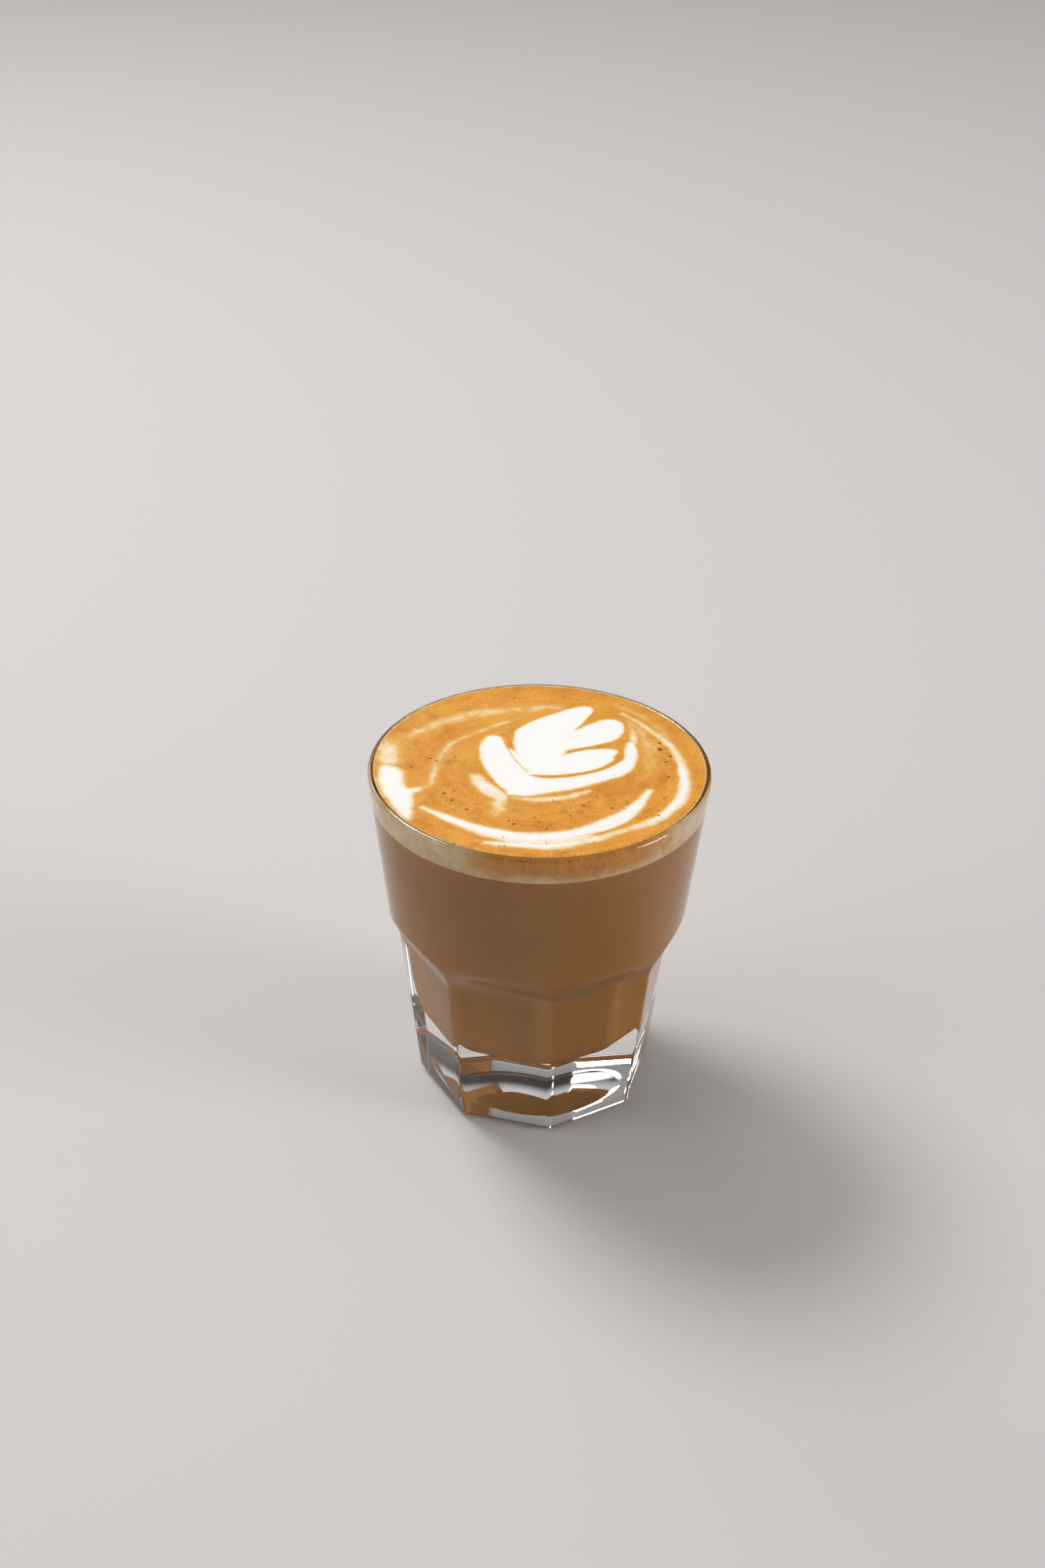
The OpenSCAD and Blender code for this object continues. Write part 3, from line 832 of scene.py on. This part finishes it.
def depth_inside(points, outline):
    """Distance of each point inside an outline, negative outside it."""
    nearest = np.full(len(points), CREMA_R)
    inside = np.zeros(len(points), dtype=bool)
    for p, q in zip(outline, np.roll(outline, -1, axis=0)):
        edge = q - p
        t = np.clip(((points - p) @ edge) / (edge @ edge), 0, 1)
        nearest = np.minimum(nearest, np.linalg.norm(points - p - t[:, None] * edge, axis=1))
        if p[1] != q[1]:
            spans = (p[1] > points[:, 1]) != (q[1] > points[:, 1])
            inside ^= spans & (points[:, 0] < p[0] + (points[:, 1] - p[1]) * edge[0] / edge[1])
    return np.where(inside, nearest, -nearest)


def lay(points, shares, width_share, strength, reach):
    """Which points a patch touches, and how strongly: crisp inside, with a tan edge that fades outwards."""
    outline = outline_of(shares, width_share)
    low = outline.min(axis=0) - REACHES * reach
    high = outline.max(axis=0) + REACHES * reach
    near = np.flatnonzero(((points > low) & (points < high)).all(axis=1))
    depth = depth_inside(points[near], outline)
    edge = EDGE_WHITE * np.exp(np.minimum(depth, 0) / reach)
    inside = 1 - (1 - EDGE_WHITE) * np.exp(-np.maximum(depth, 0) / (WHITEN_SHARE * reach))
    return near, strength * np.where(depth < 0, edge, inside)


def milk_at(points):
    """How white the milk lies at each point, from 0 for bare crema to 1."""
    milk = np.zeros(len(points))
    for patch in list(POURED.values()) + STAINS:
        near, share = lay(points, *patch)
        milk[near] = np.maximum(milk[near], share)
    for line in LINES:
        near, share = lay(points, *line)
        milk[near] *= 1 - share
    return milk


# Crema's side against the glass: mostly pale foam, with a brown stretch at the front, in degrees from it
SIDE_MILK = 0.55
FOAM_MILK = 0.5
SIDE_BROWN_FROM = (-32, -8)
SIDE_BROWN_TO = (30, 55)


def side_milk(points):
    angle = np.degrees(np.arctan2(points[:, 0], -points[:, 1]))
    brown = ease(*SIDE_BROWN_FROM, angle) * (1 - ease(*SIDE_BROWN_TO, angle))
    return SIDE_MILK * (1 - brown)


def paint_milk(piece):
    points = points_of(piece)
    below = points[:, 2] < crema_height(np.hypot(points[:, 0], points[:, 1])) - WELD
    milk = milk_at(points[:, :2])
    milk[below] = side_milk(points[below])
    set_milk(piece, milk)


def set_milk(piece, milk):
    attribute = piece.data.attributes.new("milk", "FLOAT", "POINT")
    attribute.data.foreach_set("value", milk.astype(np.float32))


# Crema's top: how far it domes up in the middle and creeps up the glass, and how far in it creeps
DOME = 0.35
MENISCUS = 0.08
MENISCUS_REACH = 0.8


def crema_height(radius):
    dome = DOME * (1 - (radius / CREMA_R) ** 2)
    return CREMA_TOP + dome + MENISCUS * np.exp((radius - CREMA_R) / MENISCUS_REACH)


def make_crema(material):
    brim = float(crema_height(CREMA_R))
    wall = [(float(lip_inside(z)) + WET, z) for z in rows(CREMA_LOW, brim, WALL_ROWS)]
    edge = wall[-1][0]
    top = [(r, float(crema_height(r))) for r in rows(edge, 0, CREMA_ROWS)[1:]]
    piece = spin_outline("crema_top", [(0, CREMA_LOW)] + wall + top, CREMA_COLUMNS)
    paint_milk(piece)
    finish_piece(piece, "foam_cap", "crema_foam", material, "crema")
    return piece


# Poured milk: how deep it goes, how far it stands proud and how wide its soft edge is
PAD_DEPTH = 0.5
PAD_RISE = 0.015
PAD_EDGE = 0.7


def make_poured(name, crema, outline, slot, material):
    """A patch of poured milk: the crema's own faces inside its outline, copied, crowned and given a depth."""
    deselect()
    crema.select_set(True)
    bpy.context.view_layer.objects.active = crema
    bpy.ops.object.duplicate()
    piece = bpy.context.object
    piece.name = piece.data.name = name + "_foam"
    points = points_of(piece)
    top = points[:, 2] > crema_height(np.hypot(points[:, 0], points[:, 1])) - WELD
    inside = top & (depth_inside(points[:, :2], outline) > 0)
    keep_faces(piece, inside)
    points = points_of(piece)
    points[:, 2] += PAD_RISE * ease(0, PAD_EDGE, depth_inside(points[:, :2], outline))
    set_points(piece, points)
    edit_all()
    bpy.ops.mesh.extrude_region_move(TRANSFORM_OT_translate={"value": (0, 0, -PAD_DEPTH * MM)})
    bpy.ops.mesh.select_all(action="SELECT")
    bpy.ops.mesh.normals_make_consistent(inside=False)
    to_object()
    bpy.ops.object.shade_smooth_by_angle(angle=SHARP)
    finish_piece(piece, "foam_cap", slot, material, name)


def keep_faces(piece, inside):
    """Deletes every face with a point outside."""
    mesh = piece.data
    for item in (mesh.vertices, mesh.edges):
        item.foreach_set("select", np.zeros(len(item), dtype=bool))
    corners = np.empty(len(mesh.loops), dtype=np.int32)
    mesh.loops.foreach_get("vertex_index", corners)
    starts = np.empty(len(mesh.polygons), dtype=np.int32)
    mesh.polygons.foreach_get("loop_start", starts)
    outside = ~np.logical_and.reduceat(inside[corners], starts)
    mesh.polygons.foreach_set("select", outside)
    bpy.ops.object.mode_set(mode="EDIT")
    bpy.ops.mesh.select_mode(type="FACE")
    bpy.ops.mesh.delete(type="FACE")
    bpy.ops.mesh.select_mode(type="VERT")
    to_object()


# Specks of ground coffee: place and radius of each as shares of the crema's radius
SPECK_SHARES = [
    (0.74, 0.22, 0.016), (0.74, 0.3, 0.01), (0.8, 0.14, 0.011), (0.77, 0.07, 0.009),
    (0.78, -0.1, 0.009), (0.74, -0.35, 0.008), (0.7, -0.54, 0.008), (-0.57, -0.33, 0.011),
    (-0.52, -0.41, 0.01), (-0.43, -0.51, 0.01), (-0.67, 0.07, 0.009), (-0.63, 0.04, 0.007),
    (-0.66, 0.17, 0.007), (-0.52, 0.09, 0.007), (-0.78, -0.03, 0.008), (-0.15, -0.66, 0.01),
    (-0.18, -0.63, 0.008), (0.04, -0.71, 0.008), (0, -0.64, 0.006), (0.26, -0.45, 0.009),
    (0.29, -0.41, 0.007), (0.43, -0.47, 0.008), (0.52, -0.42, 0.006), (0.18, -0.56, 0.007),
    (0.08, -0.41, 0.006), (-0.03, -0.59, 0.006), (-0.51, -0.31, 0.007), (-0.2, -0.89, 0.006),
    (0.04, -0.86, 0.006), (-0.16, 0.84, 0.007)]
SPECK_FLATNESS = 0.25
SPECK_STRETCH = (-0.3, 0.3)
BEAD_DETAIL = 2
# Crumbs beside each speck: how many, how far off and how large
CRUMBS = 5
CRUMB_AWAY_SHARES = (0.015, 0.09)
CRUMB_SHARES = (0.002, 0.005)


def join_all(name, pieces):
    deselect()
    for piece in pieces:
        piece.select_set(True)
    bpy.context.view_layer.objects.active = pieces[0]
    bpy.ops.object.join()
    pieces[0].name = pieces[0].data.name = name
    return pieces[0]


def make_bead(x, y, size, flatness):
    """A small flattened ball that sits on the crema."""
    deselect()
    place = Vector((x, y, float(crema_height(math.hypot(x, y))))) * MM
    bpy.ops.mesh.primitive_ico_sphere_add(subdivisions=BEAD_DETAIL, radius=size * MM, location=place)
    bpy.context.object.scale.z = flatness
    bpy.ops.object.transform_apply(location=True, rotation=True, scale=True)
    bpy.ops.object.shade_smooth()
    return bpy.context.object


def make_specks(material, dice):
    places = list(SPECK_SHARES)
    for x, y, _ in SPECK_SHARES:
        for _ in range(CRUMBS):
            turn = dice.uniform(0, math.tau)
            away = dice.uniform(*CRUMB_AWAY_SHARES)
            size = dice.uniform(*CRUMB_SHARES)
            places.append((x + away * math.cos(turn), y + away * math.sin(turn), size))
    beads = [make_bead(x * CREMA_R, y * CREMA_R, r * CREMA_R, SPECK_FLATNESS) for x, y, r in places]
    for bead in beads:
        points = points_of(bead)
        middle = points.mean(axis=0)
        stretch = [[1 + dice.uniform(*SPECK_STRETCH), 1 + dice.uniform(*SPECK_STRETCH), 1] for _ in points]
        set_points(bead, middle + (points - middle) * np.array(stretch))
    piece = join_all("ground_coffee_specks", beads)
    finish_piece(piece, "foam_cap", "ground_coffee", material, "crema_specks")


# Bubbles along the front of the rim: how many, how far round in degrees, their radii and place
BUBBLES = 150
BUBBLE_ARC = 34
BUBBLE_SIZES = (0.06, 0.2)
BUBBLE_INSET = (-0.2, 0.25)
BUBBLE_FLATNESS = 0.7


def make_bubbles(material, dice):
    beads = []
    for _ in range(BUBBLES):
        angle = math.radians(dice.gauss(0, BUBBLE_ARC))
        size = dice.uniform(*BUBBLE_SIZES)
        reach = CREMA_R - dice.uniform(*BUBBLE_INSET)
        beads.append(make_bead(reach * math.sin(angle), -reach * math.cos(angle), size, BUBBLE_FLATNESS))
    piece = join_all("rim_bubble_row", beads)
    finish_piece(piece, "foam_cap", "bubble_film", material, "rim_bubbles")


# The floor: a wide round sheet of paper, with a thin layer of air under the foot in millimetres
FLOOR_R = 4
FLOOR_SIDES = 128
FLOOR_GAP = 0.2


def make_stage():
    deselect()
    place = (0, 0, -FLOOR_GAP * MM)
    bpy.ops.mesh.primitive_circle_add(vertices=FLOOR_SIDES, radius=FLOOR_R, fill_type="NGON", location=place)
    floor = bpy.context.object
    floor.name = "paper_floor"
    material, nodes, _ = new_material("pale_paper")
    shader = nodes["Principled BSDF"]
    shader.inputs["Base Color"].default_value = PAPER
    shader.inputs["Roughness"].default_value = PAPER_ROUGHNESS
    shader.inputs["Specular IOR Level"].default_value = PAPER_GLOSS
    floor.data.materials.append(material)


# Lamps: place and width in metres, power in watts and spread in degrees
LAMPS = {
    "key_softbox": ((-0.69, 0.65, 1.2), 0.6, 7.6, 140),
    "right_fill": ((2.1, -0.6, 0.5), 0.9, 27, 180),
    "left_fill": ((-1.2, -0.35, 0.4), 0.7, 3, 180),
}
LAMP_AIM = Vector((0, 0, 0.04))


def make_lamp(name, place, size, power, spread):
    data = bpy.data.lights.new(name, "AREA")
    data.shape = "DISK"
    data.size = size
    data.energy = power
    data.spread = math.radians(spread)
    lamp = bpy.data.objects.new(name, data)
    bpy.context.scene.collection.objects.link(lamp)
    lamp.location = place
    lamp.rotation_euler = (LAMP_AIM - Vector(place)).to_track_quat("-Z", "Y").to_euler()


# Pale walls and a window round the dim studio: the direction of each, how narrow it is and how bright
WORLD_GREY = 0.025
WALLS = [
    (Vector((-1, -0.15, 0.3)), 0.55, 0.62),
    (Vector((1, -0.2, 0.25)), 0.6, 0.5),
    (Vector((-0.1, 0.2, 1)), 0.6, 0.6),
    (Vector((-0.52, 0.85, 0.4)), 0.95, 3.4),
]


def make_world():
    world = bpy.data.worlds.new("soft_room")
    bpy.context.scene.world = world
    world.use_nodes = True
    nodes, links = world.node_tree.nodes, world.node_tree.links
    where = nodes.new("ShaderNodeTexCoord")
    total = 0
    for direction, narrow, bright in WALLS:
        facing = nodes.new("ShaderNodeVectorMath")
        facing.operation = "DOT_PRODUCT"
        facing.inputs[1].default_value = direction.normalized()
        links.new(where.outputs["Generated"], facing.inputs[0])
        share = nodes.new("ShaderNodeMapRange")
        share.interpolation_type = "SMOOTHSTEP"
        share.inputs["From Min"].default_value = narrow
        share.inputs["To Min"].default_value = WORLD_GREY / len(WALLS)
        share.inputs["To Max"].default_value = bright
        links.new(facing.outputs["Value"], share.inputs["Value"])
        total = math_node(nodes, links, "ADD", total, share.outputs["Result"])
    links.new(total, nodes["Background"].inputs["Color"])


# The camera, fitted to the photo: lens in pixels and sensor in millimetres
CAMERA_PIXELS = 2819.3
PHOTO_LONG_SIDE = 2000
SENSOR = 36
CAMERA_TARGET = Vector((-3.586, 0, 74.03)) * MM
CAMERA_DISTANCE = 471.0 * MM
CAMERA_ELEVATION = math.radians(31.43)
CAMERA_ROLL = math.radians(0.89)


def make_camera():
    data = bpy.data.cameras.new("camera")
    data.sensor_width = SENSOR
    data.lens = CAMERA_PIXELS * SENSOR / PHOTO_LONG_SIDE
    camera = bpy.data.objects.new("camera", data)
    bpy.context.scene.collection.objects.link(camera)
    forward = Vector((0, math.cos(CAMERA_ELEVATION), -math.sin(CAMERA_ELEVATION)))
    right = Vector((1, 0, 0))
    up = right.cross(forward)
    cos, sin = math.cos(CAMERA_ROLL), math.sin(CAMERA_ROLL)
    axes = Matrix((right * cos + up * sin, up * cos - right * sin, -forward)).transposed()
    camera.matrix_world = Matrix.Translation(CAMERA_TARGET - forward * CAMERA_DISTANCE) @ axes.to_4x4()
    bpy.context.scene.camera = camera


def main():
    dice = random.Random(SEED)
    group = foam_group()
    foam = foam_material(group, "crema_and_milk_foam")
    make_tumbler(glass_material())
    make_coffee(coffee_material())
    make_foam_band(foam_material(group, "pale_foam"))
    crema = make_crema(foam)
    for name, (shares, width_share, *_) in POURED.items():
        slot = "milk_tan" if "streak" in name else "milk_white"
        make_poured(name, crema, outline_of(shares, width_share), slot, foam)
    make_specks(gritty_material("ground_coffee", GROUND_COFFEE, SPECK_ROUGHNESS), dice)
    make_bubbles(gritty_material("bubble_film", BUBBLE_FILM, BUBBLE_ROUGHNESS), dice)
    make_stage()
    make_world()
    for name, lamp in LAMPS.items():
        make_lamp(name, *lamp)
    make_camera()
    bpy.context.scene.view_settings.view_transform = "Standard"


main()
